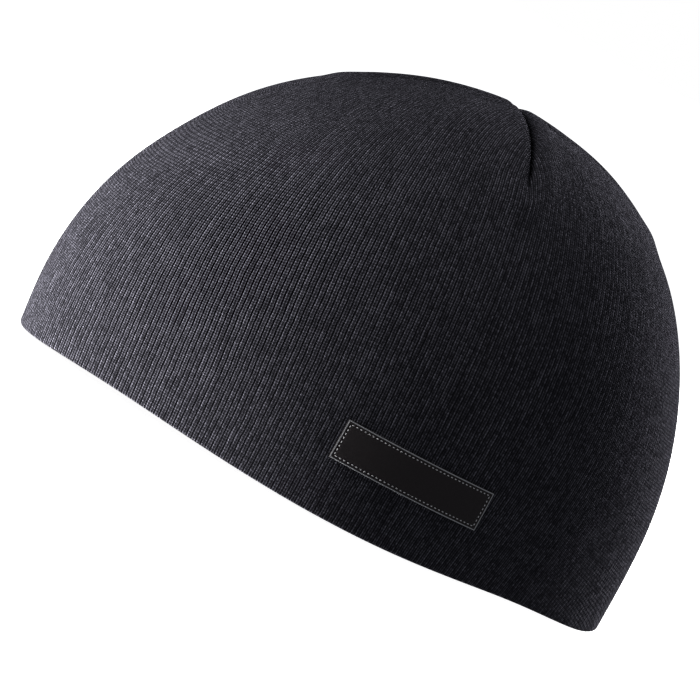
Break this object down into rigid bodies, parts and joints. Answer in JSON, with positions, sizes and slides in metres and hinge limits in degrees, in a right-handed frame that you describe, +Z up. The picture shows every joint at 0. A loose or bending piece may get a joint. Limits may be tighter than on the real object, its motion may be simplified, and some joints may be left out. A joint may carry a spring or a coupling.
{
  "type": "winter beanie",
  "caption": "Close-fitting knitted beanie, one folded double layer of fine black jersey closed by crown darts, with a small woven label near the rim.",
  "frame": {"origin": "centre of the bounding box in plan, at the height of the rim where it stands on a table", "axes": "+Z up to the crown, +Y to the back of the head, -Y to the forehead, +X to the wearer's left where the label is"},
  "size_m": [0.171, 0.2064, 0.1295],
  "materials": {
    "shell": "fine black jersey knit, double layer",
    "label": "woven satin, near black, pale border"
  },
  "bodies": {
    "root": {"shell": "shell", "label": "label"}
  },
  "joints": []
}
